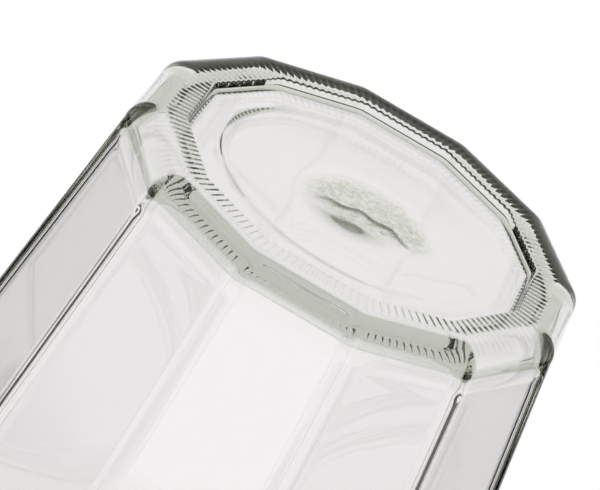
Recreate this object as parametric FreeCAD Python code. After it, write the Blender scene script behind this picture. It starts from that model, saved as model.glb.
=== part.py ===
import FreeCAD, Part
import math
import os

# Twelve-sided clear glass storage jar, empty and open, standing upright.
# One piece of glass. Millimetres, +Z up, origin at the centre of the foot.
# Sizes named "corner radius" are measured to the sharp corner of a twelve-sided ring.

SIDES = 12

# Heel and foot
HEEL_RADIUS = 54.0       # corner radius where the heel meets the body
HEEL_HEIGHT = 5.9        # height of the rounded heel
FOOT_OUTER = 47.7        # corner radius of the outer edge of the standing ring
FOOT_INNER = 41.8        # corner radius of its inner edge
CORNER_ROUND = 3.6       # rounding of the upright outer corners

# Push-up inside the standing ring
RECESS_DEPTH = 2.3       # height of its leaning wall
RECESS_LEAN = 0.5        # how far that wall leans inwards
DOME_RADIUS = 33.0       # round dome above the wall
DOME_RISE = 0.9

# Gripping notches across the standing ring, open to the push-up
NOTCHES = 13 * SIDES
NOTCH_WIDTH = 1.2
NOTCH_DEPTH = 0.4
NOTCH_LAND = 0.5         # plain strip between the notches and the heel

# Body
BODY_TOP = 138.0         # height where the flats begin to end in the shoulder
FLARE = 0.162            # growth of the corner radius per unit of height
WALL = 3.2
INNER_ROUND = 9.0        # rounding of the upright corners inside
FLOOR_TOP = 9.0          # height of the inside floor
INNER_HEEL_RISE = 10.0   # rounding between the floor and the inside wall
INNER_HEEL_RUN = 10.0
LUMP_RADIUS = 22.0       # low swelling in the middle of the inside floor
LUMP_RISE = 1.2

# Shoulder, neck and mouth
SHOULDER_RISE = 19.0     # from the body's top to the neck
SHOULDER_ROUND = 12.0    # rounding between the body and the shoulder
NECK_RADIUS = 59.0
NECK_WALL = 3.6
NECK_HEIGHT = 21.0       # from the shoulder to the top of the mouth
BEAD_HEIGHT = 6.0        # rounded bead round the mouth
BEAD_OUT = 2.0

HALF_TURN = math.pi / SIDES
SHOULDER_TOP = BODY_TOP + SHOULDER_RISE
RIM_TOP = SHOULDER_TOP + NECK_HEIGHT
AXIS = FreeCAD.Vector(0, 0, 1)
ORIGIN = FreeCAD.Vector(0, 0, 0)


def at(radius, z):
    return FreeCAD.Vector(radius, 0, z)


def line(start, end):
    return Part.makeLine(at(*start), at(*end))


def arc(start, middle, end):
    return Part.Arc(at(*start), at(*middle), at(*end)).toShape()


def revolve(edges):
    return Part.Face(Part.Wire(edges)).revolve(ORIGIN, AXIS, 360)


def ring(radius, rounding, z):
    """Closed twelve-sided wire with rounded corners, one of them on +X."""
    reach = radius - rounding / math.cos(HALF_TURN)
    corners = []
    for k in range(SIDES):
        way = 2 * HALF_TURN * k
        corners.append([FreeCAD.Vector(reach * math.cos(way) + rounding * math.cos(way + turn),
                                       reach * math.sin(way) + rounding * math.sin(way + turn), z)
                        for turn in (-HALF_TURN, 0.0, HALF_TURN)])
    edges = []
    for k, corner in enumerate(corners):
        edges.append(Part.Arc(*corner).toShape())
        edges.append(Part.makeLine(corner[2], corners[(k + 1) % SIDES][0]))
    return Part.Wire(edges)


def loft(sections, rounding, straight):
    return Part.makeLoft([ring(r, rounding, z) for r, z in sections], True, straight)


def rounded_base(inner, outer, low, high, steps=6):
    """Radius and height pairs on a quarter ellipse that starts level and ends upright."""
    angles = [math.pi / 2 * i / steps for i in range(steps + 1)]
    return [(inner + (outer - inner) * math.sin(a), high - (high - low) * math.cos(a))
            for a in angles]


def body_radius(z):
    return HEEL_RADIUS + FLARE * (z - HEEL_HEIGHT)


def shoulder(inset):
    """Round solid, `inset` inside the outer skin, that trims the flats into arcs."""
    side = body_radius(BODY_TOP) * math.cos(HALF_TURN) - inset
    top = SHOULDER_TOP - inset
    neck = NECK_RADIUS - inset
    low = top - SHOULDER_ROUND * 2
    bow = (side - (side - neck) * 0.22, top - SHOULDER_ROUND * 0.55)
    wide = side + SHOULDER_ROUND
    curve = Part.BezierCurve()
    curve.setPoles([at(wide, low), at(wide - 3, low + SHOULDER_ROUND), at(*bow), at(neck, top)])
    return revolve([line((0, 0), (wide, 0)), line((wide, 0), (wide, low)), curve.toShape(),
                    line((neck, top), (0, top)), line((0, top), (0, 0))])


def neck_and_bead():
    """Straight neck that ends in a rounded bead."""
    low = SHOULDER_TOP - 8
    foot = RIM_TOP - BEAD_HEIGHT
    middle = RIM_TOP - BEAD_HEIGHT / 2
    return revolve([line((0, low), (NECK_RADIUS, low)), line((NECK_RADIUS, low), (NECK_RADIUS, foot)),
                    arc((NECK_RADIUS, foot), (NECK_RADIUS + BEAD_OUT, middle), (NECK_RADIUS, RIM_TOP)),
                    line((NECK_RADIUS, RIM_TOP), (0, RIM_TOP)), line((0, RIM_TOP), (0, low))])


def outside():
    heel = loft(rounded_base(FOOT_OUTER, HEEL_RADIUS, 0.0, HEEL_HEIGHT), CORNER_ROUND, False)
    body = loft([(HEEL_RADIUS, HEEL_HEIGHT), (body_radius(SHOULDER_TOP), SHOULDER_TOP)],
                CORNER_ROUND, True)
    return heel.fuse([body.common(shoulder(0.0)), neck_and_bead()])


def floor_lump():
    top = FLOOR_TOP + LUMP_RISE
    bow = (LUMP_RADIUS * 0.5, FLOOR_TOP + LUMP_RISE * 0.75)
    return revolve([arc((LUMP_RADIUS, FLOOR_TOP), bow, (0, top)), line((0, top), (0, FLOOR_TOP - 1)),
                    line((0, FLOOR_TOP - 1), (LUMP_RADIUS, FLOOR_TOP - 1)),
                    line((LUMP_RADIUS, FLOOR_TOP - 1), (LUMP_RADIUS, FLOOR_TOP))])


def inside():
    skin = WALL / math.cos(HALF_TURN)
    low = FLOOR_TOP + INNER_HEEL_RISE
    wide = body_radius(low) - skin
    base = loft(rounded_base(wide - INNER_HEEL_RUN, wide, FLOOR_TOP, low), INNER_ROUND, False)
    wall = loft([(wide, low), (body_radius(SHOULDER_TOP) - skin, SHOULDER_TOP)], INNER_ROUND, True)
    mouth = Part.makeCylinder(NECK_RADIUS - NECK_WALL, RIM_TOP - SHOULDER_TOP + 20,
                              FreeCAD.Vector(0, 0, SHOULDER_TOP - 15))
    return base.fuse([wall.common(shoulder(WALL)), mouth]).cut(floor_lump())


def push_up():
    top = RECESS_DEPTH + DOME_RISE
    wall = loft([(FOOT_INNER, 0.0),
                 (FOOT_INNER - RECESS_LEAN, RECESS_DEPTH)], CORNER_ROUND, True)
    bow = (DOME_RADIUS * 0.5, RECESS_DEPTH + DOME_RISE * 0.75)
    dome = revolve([arc((DOME_RADIUS, RECESS_DEPTH), bow, (0, top)), line((0, top), (0, 0)),
                    line((0, 0), (DOME_RADIUS, 0)), line((DOME_RADIUS, 0), (DOME_RADIUS, RECESS_DEPTH))])
    return wall.fuse(dome)


def notch_cutters():
    """V-shaped cutters that run outwards across the standing ring, each up to the plain strip."""
    half = NOTCH_WIDTH
    below = -NOTCH_DEPTH
    start = FOOT_INNER * math.cos(HALF_TURN) - 1.5
    end = FOOT_OUTER * math.cos(HALF_TURN) - NOTCH_LAND
    wedge = Part.Face(Part.makePolygon([FreeCAD.Vector(start, -half, below),
                                        FreeCAD.Vector(start, half, below),
                                        FreeCAD.Vector(start, 0, NOTCH_DEPTH),
                                        FreeCAD.Vector(start, -half, below)]))
    cutters = []
    for k in range(NOTCHES):
        turn = 2 * math.pi * (k + 0.5) / NOTCHES
        off_middle = turn % (2 * HALF_TURN) - HALF_TURN
        cutter = wedge.extrude(FreeCAD.Vector(end / math.cos(off_middle) - start, 0, 0))
        cutter.rotate(ORIGIN, AXIS, math.degrees(turn))
        cutters.append(cutter)
    return cutters


def jar():
    glass = outside().cut(inside()).cut(push_up()).cut(notch_cutters())
    return glass.removeSplitter().Solids[0]


os.makedirs("parts", exist_ok=True)
jar().exportStep("parts/jar.step")
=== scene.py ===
"""Looks of the twelve-sided glass storage jar: one closed mesh of clear pressed glass on a pale floor."""

import math

import bpy
import numpy as np
from mathutils import Matrix, Vector

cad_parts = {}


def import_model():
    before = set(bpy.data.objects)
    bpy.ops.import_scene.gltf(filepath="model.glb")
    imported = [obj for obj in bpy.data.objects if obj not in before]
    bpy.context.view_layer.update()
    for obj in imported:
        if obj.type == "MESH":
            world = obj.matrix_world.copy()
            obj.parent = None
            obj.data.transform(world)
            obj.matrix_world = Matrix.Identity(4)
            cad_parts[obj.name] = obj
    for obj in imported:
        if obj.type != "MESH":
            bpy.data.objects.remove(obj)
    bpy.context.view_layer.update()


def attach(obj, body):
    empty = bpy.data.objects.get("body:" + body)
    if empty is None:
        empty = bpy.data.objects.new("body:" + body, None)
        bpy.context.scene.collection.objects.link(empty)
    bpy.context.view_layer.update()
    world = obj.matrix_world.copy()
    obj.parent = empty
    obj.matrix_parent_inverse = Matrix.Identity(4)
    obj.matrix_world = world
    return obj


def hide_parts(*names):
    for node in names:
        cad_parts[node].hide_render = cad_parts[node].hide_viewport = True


MM = 0.001
SIDES = 12
HALF_TURN = math.pi / SIDES
WHITE = (1, 1, 1, 1)

# Outside in millimetres, with the sizes of the CAD source
HEEL_RADIUS, HEEL_HEIGHT = 54.0, 5.9
FOOT_OUTER, FOOT_INNER = 47.7, 41.8
CORNER_ROUND = 3.6
RECESS_DEPTH, RECESS_LEAN = 2.3, 0.5
DOME_RADIUS, DOME_RISE = 33.0, 0.9
BODY_TOP, FLARE = 138.0, 0.162
SHOULDER_RISE, SHOULDER_ROUND = 19.0, 12.0
NECK_RADIUS, NECK_HEIGHT = 59.0, 21.0
BEAD_HEIGHT, BEAD_OUT = 6.0, 2.0
SHOULDER_TOP = BODY_TOP + SHOULDER_RISE
RIM_TOP = SHOULDER_TOP + NECK_HEIGHT

# Inside: walls as in the CAD source, but thinner glass under the floor and a smaller lump on it
WALL, NECK_WALL, INNER_ROUND = 3.2, 3.6, 9.0
FLOOR_TOP = 6.0
INNER_HEEL_RISE, INNER_HEEL_RUN = 6.0, 6.0
LUMP_RADIUS, LUMP_RISE = 17.0, 1.2

# Soft edges
LIP_ROUND = 0.25                           # between the standing ring and the push-up's wall
CHAMFER_RUN, CHAMFER_RISE = 1.0, 0.6       # at the top of that wall
SHOULDER_BOW = (0.22, 0.55)                # pull on the shoulder, as shares of its run and rounding
SHOULDER_TUCK = 3.0
OUTER_BLEND, INNER_BLEND = 1.5, 3.0        # between the flats and the shoulder
BEAD_TUCK = 0.6                            # the bead's ends lie this far inside the neck's skin
MOUTH_DROP = 1.2                           # the straight bore ends this far under the mouth's top
MOUTH_EDGE = ((0.4, 0.35), (1.2, 0.0))     # widening and drop of two points on its rounded edge

# Notches across the standing ring, less deep than in the CAD source and rounded
NOTCHES = 13 * SIDES
NOTCH_DEPTH, NOTCH_SHARPNESS = 0.35, 3
NOTCH_LAND, NOTCH_FADE = 0.5, 0.5          # plain strip outside them, and their fade before it
NOTCH_FULL, NOTCH_END = 0.1, 1.0           # heights between which they fade up the push-up's wall

# Flow mark on the inside floor: a bent, rippled ridge with a frosted patch round it
MARK_TURN = math.radians(45)
MARK_SHIFT = 3.0
MARK_LENGTH, MARK_WIDTH, MARK_RISE = 10.0, 1.5, 0.4
MARK_BEND, MARK_LEVEL = -3.5, 0.5          # sideways bend, and what is taken off it to centre it
MARK_RIPPLE, MARK_WAVE = 0.7, 0.8
PATCH_LENGTH, PATCH_WIDTH = 18.0, 10.0
PATCH_BEND, PATCH_LEVEL = -0.7, 0.4
PATCH_FADE = (0.35, 1.0)
PATCH_TINT = (0.78, 0.81, 0.70, 1)
PATCH_ROUGH = 0.3

# Fine step at one side of the dome's edge
STEP_TURN = math.radians(5)
STEP_RISE, STEP_NARROWNESS, STEP_STEEPNESS = 0.45, 8, 3

# Glass
IOR = 1.52
ABSORB_COLOUR, ABSORB_DENSITY = (0.51, 0.555, 0.41, 1), 34.0    # per metre
RIPPLE_STRENGTH, RIPPLE_DEPTH, RIPPLE_SCALE = 0.3, 0.12, 55.0
ROUGH_MOST, ROUGH_SCALE = 0.008, 35.0
GRAIN_SCALE, GRAIN_LEAST = 700.0, 0.3
NOISE_RANGE = (0.35, 0.65)                 # middle range of a noise, which is spread out
BOUNCES = 48                               # light runs far inside the walls before it leaves them

# Mesh: vertices in each ring, and gaps from a ring where the form changes to the next ring
AROUND = 4 * NOTCHES
GAP, NECK_GAP, HEEL_GAP, BORE_GAP, DOME_GAP = 2.0, 1.5, 0.6, 0.6, 0.2
UNTRIMMED = 999.0                          # a shoulder radius that leaves the flats as they are

# Camera, in heel radii from the centre of the foot
VIEW_TURN = math.radians(43.4)
VIEW_RISE = math.radians(-27.6)
VIEW_ROLL = math.radians(150.4)
VIEW_AIM = (0.541, -0.392, 0.0)
VIEW_DISTANCE = 12.0
VIEW_LENS = 190.0
VIEW_FAR = 20.0                            # metres

# Studio: white all round, with a dark patch overhead and dark upright strips for the glass to show
OVERHEAD_EDGE = (0.80, 0.92)
STRIP_WAY = (0.707, 0.707, 0.0)
STRIPS = ((0.48, 0.58), (0.76, 0.86))
STRIP_FADE = 0.03
DARK_LEVEL = 0.02
GLASS_LIGHT = (1.0, 0.965, 1.0, 1)
FLOOR_SIZE, FLOOR_DROP = 8.0, 0.0001        # metres
FLOOR_COLOUR, FLOOR_ROUGH = (0.97, 0.97, 0.97, 1), 0.9
FLOOR_LIGHT, FLOOR_GLOW = (0.95, 0.955, 0.92, 1), 0.62


# ---------------------------------------------------------------- outline of the glass
def quarter(inner, outer, low, high, steps):
    """Radius and height pairs on a quarter ellipse that starts level and ends upright."""
    angles = [math.pi / 2 * i / steps for i in range(steps + 1)]
    return [(inner + (outer - inner) * math.sin(a), high - (high - low) * math.cos(a))
            for a in angles]


def run(start, end, steps):
    """Pairs spread evenly on a straight line, without its first point."""
    return [(start[0] + (end[0] - start[0]) * i / steps, start[1] + (end[1] - start[1]) * i / steps)
            for i in range(1, steps + 1)]


def body_radius(z):
    return HEEL_RADIUS + FLARE * (z - HEEL_HEIGHT)


def skin():
    """The wall's thickness measured at a corner."""
    return WALL / math.cos(HALF_TURN)


def shoulder_curve(inset, steps=14):
    """Round outline that trims the flats, from the neck down and outwards."""
    side = body_radius(BODY_TOP) * math.cos(HALF_TURN) - inset
    top, neck = SHOULDER_TOP - inset, NECK_RADIUS - inset
    low = top - SHOULDER_ROUND * 2
    wide = side + SHOULDER_ROUND
    bow = (side - (side - neck) * SHOULDER_BOW[0], top - SHOULDER_ROUND * SHOULDER_BOW[1])
    poles = np.array([(neck, top), bow, (wide - SHOULDER_TUCK, low + SHOULDER_ROUND), (wide, low)])
    t = np.linspace(0, 1, steps + 1)[:, None]
    curve = ((1 - t) ** 3 * poles[0] + 3 * t * (1 - t) ** 2 * poles[1]
             + 3 * t * t * (1 - t) * poles[2] + t ** 3 * poles[3])
    return [tuple(p) for p in curve]


def dodecagon(turn, radius, rounding):
    """Distance from the axis to a twelve-sided ring with rounded corners, one of them on +X."""
    apothem = radius * math.cos(HALF_TURN)
    away = np.abs((turn + HALF_TURN) % (2 * HALF_TURN) - HALF_TURN)
    centre = (apothem - rounding) / math.cos(HALF_TURN)
    flat = apothem / np.cos(HALF_TURN - away)
    under = np.maximum(rounding ** 2 - (centre * np.sin(away)) ** 2, 0)
    corner = centre * np.cos(away) + np.sqrt(under)
    limit = math.atan2(rounding * math.sin(HALF_TURN), centre + rounding * math.cos(HALF_TURN))
    return np.where(away < limit, corner, flat)


def soft_min(a, b, blend_width):
    """The smaller of two radii, rounded where they cross."""
    share = np.clip(0.5 + 0.5 * (b - a) / blend_width, 0, 1)
    return b * (1 - share) + a * share - blend_width * share * (1 - share)


def bead(steps=12):
    """Half ellipse from the mouth's top down the outside."""
    half = BEAD_HEIGHT / 2
    angles = [math.pi * i / steps for i in range(steps + 1)]
    return [("round", NECK_RADIUS - BEAD_TUCK + (BEAD_OUT + BEAD_TUCK) * math.sin(a),
             RIM_TOP - half + half * math.cos(a)) for a in angles]


def push_up(steps=12):
    """Wall of the push-up with its chamfer, a level stretch and the shallow dome, towards the axis."""
    lip = (FOOT_INNER, LIP_ROUND)
    wall_top = (FOOT_INNER - RECESS_LEAN, RECESS_DEPTH - CHAMFER_RISE)
    level = (wall_top[0] - CHAMFER_RUN, RECESS_DEPTH)
    wall = [lip] + run(lip, wall_top, steps=6) + run(wall_top, level, steps=3)
    rings = [("sided", r, z) for r, z in wall]
    rings += [("sided", r, RECESS_DEPTH) for r in np.linspace(level[0] - GAP / 2, DOME_RADIUS + GAP, 4)]
    rings.append(("round", DOME_RADIUS + DOME_GAP, RECESS_DEPTH))
    shares = [1 - i / steps for i in range(steps)]
    return rings + [("dome", DOME_RADIUS * share, RECESS_DEPTH + DOME_RISE * (1 - share ** 2))
                    for share in shares]


def outside():
    """Rings from the mouth down the outside to the middle of the base, as (shape, radius, z).

    "round", "dome" and "floor" are circles, "sided" and "inside" are twelve-sided rings, and
    "outer" and "inner" are the smaller of the body's flats and the round shoulder."""
    neck = np.linspace(RIM_TOP - BEAD_HEIGHT - GAP, SHOULDER_TOP + NECK_GAP, 3)
    shoulder = shoulder_curve(0.0)
    flats = np.linspace(shoulder[-1][1] - GAP, HEEL_HEIGHT + HEEL_GAP, 6)
    heel = quarter(FOOT_OUTER, HEEL_RADIUS, 0.0, HEEL_HEIGHT, steps=14)[::-1]
    standing_ring = run((FOOT_OUTER, 0), (FOOT_INNER + LIP_ROUND, 0), steps=10)
    rings = bead() + [("round", NECK_RADIUS, z) for z in neck]
    rings += [("outer", r, z) for r, z in shoulder]
    rings += [("outer", UNTRIMMED, z) for z in flats]
    rings += [("sided", r, z) for r, z in heel + standing_ring]
    return rings + push_up()


def inside(steps=24):
    """Rings from the middle of the inside floor up to the mouth."""
    shares = [i / steps for i in range(1, steps + 1)]
    rings = [("floor", LUMP_RADIUS * share, FLOOR_TOP + LUMP_RISE * (1 + math.cos(math.pi * share)) / 2)
             for share in shares]
    heel_top = FLOOR_TOP + INNER_HEEL_RISE
    wide = body_radius(heel_top) - skin()
    heel = wide - INNER_HEEL_RUN
    shoulder = shoulder_curve(WALL)[::-1]
    bore = NECK_RADIUS - NECK_WALL
    neck = np.linspace(SHOULDER_TOP - WALL + NECK_GAP, RIM_TOP - MOUTH_DROP, 4)
    rings += [("inside", r, FLOOR_TOP) for r in np.linspace(LUMP_RADIUS + GAP, heel - GAP / 2, 5)]
    rings += [("inside", r, z) for r, z in quarter(heel, wide, FLOOR_TOP, heel_top, steps=12)]
    rings += [("inner", UNTRIMMED, z) for z in np.linspace(heel_top + GAP, shoulder[0][1] - GAP, 6)]
    rings += [("inner", r, z) for r, z in shoulder if r > bore + BORE_GAP]
    rings += [("round", bore, z) for z in neck]
    return rings + [("round", bore + out, RIM_TOP - drop) for out, drop in MOUTH_EDGE]


# ---------------------------------------------------------------- surface of the glass
def ring_radius(kind, radius, z, turn):
    if kind in ("round", "dome", "floor"):
        return np.full_like(turn, radius)
    if kind == "sided":
        return dodecagon(turn, radius, CORNER_ROUND)
    if kind == "inside":
        return dodecagon(turn, radius, INNER_ROUND)
    if kind == "outer":
        return soft_min(dodecagon(turn, body_radius(z), CORNER_ROUND), np.float64(radius), OUTER_BLEND)
    flats = dodecagon(turn, body_radius(z) - skin(), INNER_ROUND)
    return soft_min(flats, np.float64(radius), INNER_BLEND)


def notch_lift(radius, z, turn):
    """Rounded notches, full across the standing ring, that fade up the wall of the push-up
    and before the plain strip outside them."""
    across = np.clip((FOOT_OUTER - NOTCH_LAND - radius) / NOTCH_FADE, 0, 1)
    upwards = np.clip((NOTCH_END - z) / (NOTCH_END - NOTCH_FULL), 0, 1)
    profile = np.abs(np.cos(NOTCHES * turn / 2)) ** NOTCH_SHARPNESS
    return NOTCH_DEPTH * profile * across * upwards


def mark_lift(x, y):
    """The bent, rippled ridge across the middle of the inside floor."""
    along = x * math.cos(MARK_TURN) + y * math.sin(MARK_TURN) + MARK_SHIFT
    across = y * math.cos(MARK_TURN) - x * math.sin(MARK_TURN)
    line = MARK_BEND * ((along / MARK_LENGTH) ** 2 - MARK_LEVEL) + MARK_RIPPLE * np.sin(MARK_WAVE * along)
    return MARK_RISE * np.exp(-((across - line) / MARK_WIDTH) ** 2 - (along / MARK_LENGTH) ** 4)


def step_lift(radius, turn):
    """Step at the dome's edge, strongest on one side and gone on the other."""
    signed = (turn + math.pi) % (2 * math.pi) - math.pi
    sideways = np.maximum(np.cos((signed - STEP_TURN) / 2), 0) ** STEP_NARROWNESS
    return STEP_RISE * sideways * (radius / DOME_RADIUS) ** STEP_STEEPNESS


def ring_row(kind, radius, z):
    """The vertices of one ring."""
    turn = 2 * math.pi * np.arange(AROUND) / AROUND
    reach = ring_radius(kind, radius, z, turn)
    x, y = reach * np.cos(turn), reach * np.sin(turn)
    height = np.full_like(turn, z)
    if kind == "sided":
        height += notch_lift(radius, z, turn)
    if kind == "floor":
        height += mark_lift(x, y)
    if kind == "dome":
        height += step_lift(radius, turn)
    return np.column_stack([x, y, height])


def glass_mesh(name):
    """Closed skin: each ring is joined to the next and the last to the first, at the mouth. The two
    rings nearest the axis, below and above the base, are capped instead."""
    outer = outside()
    rows = [ring_row(*ring) for ring in outer + inside()]
    count, pole = len(rows), len(outer) - 1
    centres = np.array([rows[pole].mean(0), rows[pole + 1].mean(0)])
    here = np.arange(AROUND)
    following = (here + 1) % AROUND
    quads = []
    for i in range(count):
        if i != pole:
            a, b = i * AROUND, (i + 1) % count * AROUND
            quads.append(np.column_stack([a + here, b + here, b + following, a + following]))
    below, above = pole * AROUND, (pole + 1) * AROUND
    tip = np.full(AROUND, count * AROUND)
    caps = [np.column_stack([below + here, tip, below + following]),
            np.column_stack([above + following, tip + 1, above + here])]
    mesh = bpy.data.meshes.new(name)
    mesh.from_pydata((np.concatenate(rows + [centres]) * MM).tolist(), [],
                     np.concatenate(quads).tolist() + np.concatenate(caps).tolist())
    mesh.validate()
    mesh.polygons.foreach_set("use_smooth", np.ones(len(mesh.polygons), bool))
    mesh.update()
    return put(name, mesh)


def put(name, data):
    """New object in the scene."""
    obj = bpy.data.objects.new(name, data)
    bpy.context.scene.collection.objects.link(obj)
    return obj


# ---------------------------------------------------------------- shader nodes
def plug(nt, socket, value):
    """Sets a socket to a value, or links it to another node's output."""
    if isinstance(value, bpy.types.NodeSocket):
        nt.links.new(value, socket)
    else:
        socket.default_value = value


def add(nt, kind, inputs=None, **settings):
    node = nt.nodes.new("ShaderNode" + kind)
    for key, value in settings.items():
        setattr(node, key, value)
    for key, value in (inputs or {}).items():
        plug(nt, node.inputs[key], value)
    return node


def maths(nt, operation, *values):
    return add(nt, "Math", dict(enumerate(values)), operation=operation).outputs[0]


def ramp(nt, value, low, high):
    """0 under low, 1 over high, smooth between."""
    inputs = {"Value": value, "From Min": low, "From Max": high}
    return add(nt, "MapRange", inputs, interpolation_type="SMOOTHSTEP").outputs["Result"]


def blend(nt, share, low, high):
    """Colour that goes from low to high as share goes from 0 to 1."""
    factor, first, second, result = 0, 6, 7, 2    # the colour sockets of a Mix node
    return add(nt, "Mix", {factor: share, first: low, second: high}, data_type="RGBA").outputs[result]


def noise(nt, scale, detail, low, high):
    """Noise in the jar's own space, with its middle range spread from low to high."""
    where = add(nt, "TexCoord").outputs["Object"]
    raw = add(nt, "TexNoise", {"Scale": scale, "Detail": detail, "Vector": where}).outputs["Fac"]
    least, most = NOISE_RANGE
    inputs = {"Value": raw, "From Min": least, "From Max": most, "To Min": low, "To Max": high}
    return add(nt, "MapRange", inputs).outputs["Result"]


def seen_by_glass(nt):
    """1 for light that glass bends or mirrors."""
    path = add(nt, "LightPath")
    return maths(nt, "MAXIMUM", path.outputs["Is Glossy Ray"], path.outputs["Is Transmission Ray"])


# ---------------------------------------------------------------- materials
def flow_patch(nt):
    """1 on the bent, faintly frosted patch round the flow mark, and 0 away from it."""
    centre = (-MARK_SHIFT * math.cos(MARK_TURN) * MM, -MARK_SHIFT * math.sin(MARK_TURN) * MM, 0)
    place = add(nt, "Mapping", vector_type="TEXTURE")
    plug(nt, place.inputs["Vector"], add(nt, "TexCoord").outputs["Object"])
    plug(nt, place.inputs["Location"], centre)
    plug(nt, place.inputs["Rotation"], (0, 0, MARK_TURN))
    plug(nt, place.inputs["Scale"], (PATCH_LENGTH * MM, PATCH_WIDTH * MM, 1))
    split = add(nt, "SeparateXYZ", {0: place.outputs["Vector"]})
    along = maths(nt, "POWER", maths(nt, "ABSOLUTE", split.outputs["X"]), 2.0)
    bent = maths(nt, "MULTIPLY", maths(nt, "SUBTRACT", along, PATCH_LEVEL), PATCH_BEND)
    off_line = maths(nt, "ABSOLUTE", maths(nt, "SUBTRACT", split.outputs["Y"], bent))
    across = maths(nt, "POWER", off_line, 2.0)
    return maths(nt, "SUBTRACT", 1.0, ramp(nt, maths(nt, "ADD", along, across), *PATCH_FADE))


def glass_material():
    """Clear glass that turns olive along its length, with a faint ripple and a frosted flow mark."""
    mat = bpy.data.materials.new("clear_glass")
    mat.use_nodes = True
    nt = mat.node_tree
    shader = nt.nodes["Principled BSDF"]
    plug(nt, shader.inputs["IOR"], IOR)
    plug(nt, shader.inputs["Transmission Weight"], 1.0)
    patch = maths(nt, "MULTIPLY", flow_patch(nt), noise(nt, GRAIN_SCALE, 2.0, GRAIN_LEAST, 1.0))
    plug(nt, shader.inputs["Base Color"], blend(nt, patch, WHITE, PATCH_TINT))
    frost = maths(nt, "MULTIPLY", patch, PATCH_ROUGH)
    uneven = noise(nt, ROUGH_SCALE, 2.0, 0.0, ROUGH_MOST)
    plug(nt, shader.inputs["Roughness"], maths(nt, "ADD", frost, uneven))
    where = add(nt, "TexCoord").outputs["Object"]
    swell = add(nt, "TexNoise", {"Scale": RIPPLE_SCALE, "Detail": 1.0, "Vector": where}).outputs["Fac"]
    ripple = add(nt, "Bump", {"Strength": RIPPLE_STRENGTH, "Distance": RIPPLE_DEPTH * MM, "Height": swell})
    plug(nt, shader.inputs["Normal"], ripple.outputs["Normal"])
    tint = add(nt, "VolumeAbsorption", {"Color": ABSORB_COLOUR, "Density": ABSORB_DENSITY})
    plug(nt, nt.nodes["Material Output"].inputs["Volume"], tint.outputs[0])
    return mat


def floor_material():
    """Pale from above and clear from below. Glass shows it partly as plain light."""
    mat = bpy.data.materials.new("floor")
    mat.use_nodes = True
    nt = mat.node_tree
    shader = nt.nodes["Principled BSDF"]
    plug(nt, shader.inputs["Base Color"], FLOOR_COLOUR)
    plug(nt, shader.inputs["Roughness"], FLOOR_ROUGH)
    glow = add(nt, "Emission", {"Color": FLOOR_LIGHT}).outputs[0]
    share = maths(nt, "MULTIPLY", seen_by_glass(nt), FLOOR_GLOW)
    above = add(nt, "MixShader", {0: share, 1: shader.outputs[0], 2: glow}).outputs[0]
    clear = add(nt, "BsdfTransparent").outputs[0]
    back = add(nt, "NewGeometry").outputs["Backfacing"]
    both = add(nt, "MixShader", {0: back, 1: above, 2: clear}).outputs[0]
    plug(nt, nt.nodes["Material Output"].inputs["Surface"], both)
    return mat


# ---------------------------------------------------------------- studio
def world():
    """White all round for the camera. Glass also shows the dark patch overhead and the dark strips."""
    studio = bpy.data.worlds.new("studio")
    bpy.context.scene.world = studio
    studio.use_nodes = True
    nt = studio.node_tree
    background = nt.nodes["Background"]
    way = add(nt, "TexCoord").outputs["Generated"]
    up = add(nt, "SeparateXYZ", {0: way}).outputs["Z"]
    side = add(nt, "VectorMath", {0: way, 1: STRIP_WAY}, operation="DOT_PRODUCT").outputs["Value"]
    aside = maths(nt, "ABSOLUTE", side)
    dark = ramp(nt, up, *OVERHEAD_EDGE)
    for low, high in STRIPS:
        start = ramp(nt, aside, low - STRIP_FADE, low)
        end = ramp(nt, aside, high, high + STRIP_FADE)
        dark = maths(nt, "MAXIMUM", dark, maths(nt, "SUBTRACT", start, end))
    glass = seen_by_glass(nt)
    loss = maths(nt, "MULTIPLY", maths(nt, "MULTIPLY", dark, glass), 1.0 - DARK_LEVEL)
    plug(nt, background.inputs["Strength"], maths(nt, "SUBTRACT", 1.0, loss))
    plug(nt, background.inputs["Color"], blend(nt, glass, WHITE, GLASS_LIGHT))


def floor():
    half = FLOOR_SIZE / 2
    mesh = bpy.data.meshes.new("floor")
    mesh.from_pydata([(-half, -half, 0), (half, -half, 0), (half, half, 0), (-half, half, 0)], [],
                     [(0, 1, 2, 3)])
    mesh.materials.append(floor_material())
    obj = put("floor", mesh)
    obj.location.z = -FLOOR_DROP


def camera():
    """Looks up at the base from outside and below, as the jar lies tilted in the picture."""
    data = bpy.data.cameras.new("camera")
    data.lens = VIEW_LENS
    data.clip_end = VIEW_FAR
    obj = put("camera", data)
    bpy.context.scene.camera = obj
    level = math.cos(VIEW_RISE)
    back = Vector((math.sin(VIEW_TURN) * level, -math.cos(VIEW_TURN) * level, math.sin(VIEW_RISE)))
    reach = HEEL_RADIUS * MM
    place = Matrix.Translation((Vector(VIEW_AIM) + back * VIEW_DISTANCE) * reach)
    turn = back.to_track_quat("Z", "Y").to_matrix().to_4x4()
    obj.matrix_world = place @ turn @ Matrix.Rotation(-VIEW_ROLL, 4, "Z")


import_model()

jar = glass_mesh("jar_glass")
jar.data.materials.append(glass_material())
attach(jar, "root")
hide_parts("jar")

world()
floor()
camera()
bpy.context.scene.view_settings.view_transform = "Standard"
cycles = bpy.context.scene.cycles
cycles.max_bounces = cycles.transmission_bounces = cycles.glossy_bounces = BOUNCES
